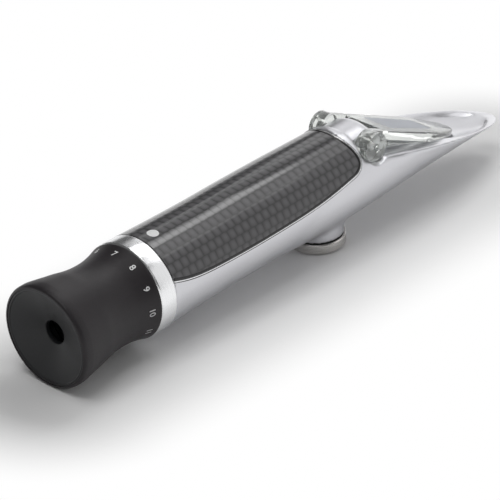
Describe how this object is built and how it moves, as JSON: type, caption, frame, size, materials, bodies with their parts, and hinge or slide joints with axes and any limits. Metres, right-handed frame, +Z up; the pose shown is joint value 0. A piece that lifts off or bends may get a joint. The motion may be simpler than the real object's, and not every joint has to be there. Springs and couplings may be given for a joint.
{
  "type": "handheld refractometer",
  "caption": "Slim hand-held refractometer: waisted focus sleeve, covered barrel, hinged clear plate over a sloping prism, scoop nose and a zero knob below.",
  "frame": {"origin": "centre of the eyepiece rim, on the optical axis", "axes": "+X along the optical axis from the eyepiece to the tip of the scoop, +Z up out of the plate side, Y across"},
  "size_m": [0.203, 0.0324, 0.0376],
  "materials": {
    "satin_silver": "satin",
    "turned_aluminium": "fine turned, bright",
    "black_sleeve": "matte black",
    "woven_cover": "dark woven look under a gloss coat",
    "black_bead": "gloss black",
    "white_dot": "matte white",
    "clear_acrylic": "clear, polished",
    "optical_glass": "polished",
    "brushed_knob": "brushed",
    "steel": "ground",
    "spring_steel": "drawn wire",
    "black_rubber": "matte",
    "black_anodised": "matt black anodised",
    "brass": "turned"
  },
  "bodies": {
    "housing": {"body_shell": "satin_silver", "grip_cover": "woven_cover", "grip_bead": "black_bead", "index_dot": "white_dot", "collar_ring": "turned_aluminium", "collar_seal": "black_rubber", "guide_tube": "black_anodised", "ring_retainer": "brass", "focus_seal": "black_rubber", "hinge_pin": "steel", "optical_tube": "black_anodised", "scale_plate": "optical_glass", "scale_ring": "black_anodised", "light_stops": "black_anodised", "prism": "optical_glass", "prism_seal": "black_rubber", "prism_mask": "black_anodised", "guide_rods": "steel", "carriage_spring": "spring_steel"},
    "focus_sleeve": {"focus_ring": "black_sleeve", "eye_cap": "black_sleeve"},
    "lens_cell": {"lens_tube": "black_anodised", "drive_pin": "steel", "eye_lens": "optical_glass", "lens_spacer": "black_anodised", "field_lens": "optical_glass", "lens_retainer": "black_anodised"},
    "zero_knob": {"adjust_knob": "brushed_knob", "adjust_spindle": "steel", "spindle_clip": "spring_steel", "knob_seal": "black_rubber", "knob_screw": "steel"},
    "carriage": {"objective_carriage": "brass", "objective_lens": "optical_glass", "objective_ring": "black_anodised"},
    "plate": {"daylight_plate": "clear_acrylic"}
  },
  "joints": [
    {"name": "plate_hinge", "type": "hinge", "parent": "housing", "child": "plate", "pos_m": [0.1312, 0, 0.0088], "axis": [0, -1, 0], "range_deg": [0, 105]},
    {"name": "focus_turn", "type": "hinge", "parent": "housing", "child": "focus_sleeve", "pos_m": [0, 0, 0], "axis": [1, 0, 0], "range_deg": [-150, 180]},
    {"name": "lens_slide", "type": "slide", "parent": "housing", "child": "lens_cell", "axis": [1, 0, 0], "range_m": [-0.00176, 0.00211]},
    {"name": "knob_turn", "type": "hinge", "parent": "housing", "child": "zero_knob", "pos_m": [0.116, 0, 0], "axis": [0, 0, 1], "range_deg": [-360, 360]},
    {"name": "carriage_slide", "type": "slide", "parent": "housing", "child": "carriage", "axis": [0, 0, 1], "range_m": [-0.00051, 0.00051], "deforming": ["carriage_spring"]}
  ],
  "couplings": [
    {"joint": "lens_slide", "follows": "focus_turn", "m_per_rad": 0.00066845},
    {"joint": "carriage_slide", "follows": "knob_turn", "m_per_rad": -0.000079577}
  ]
}
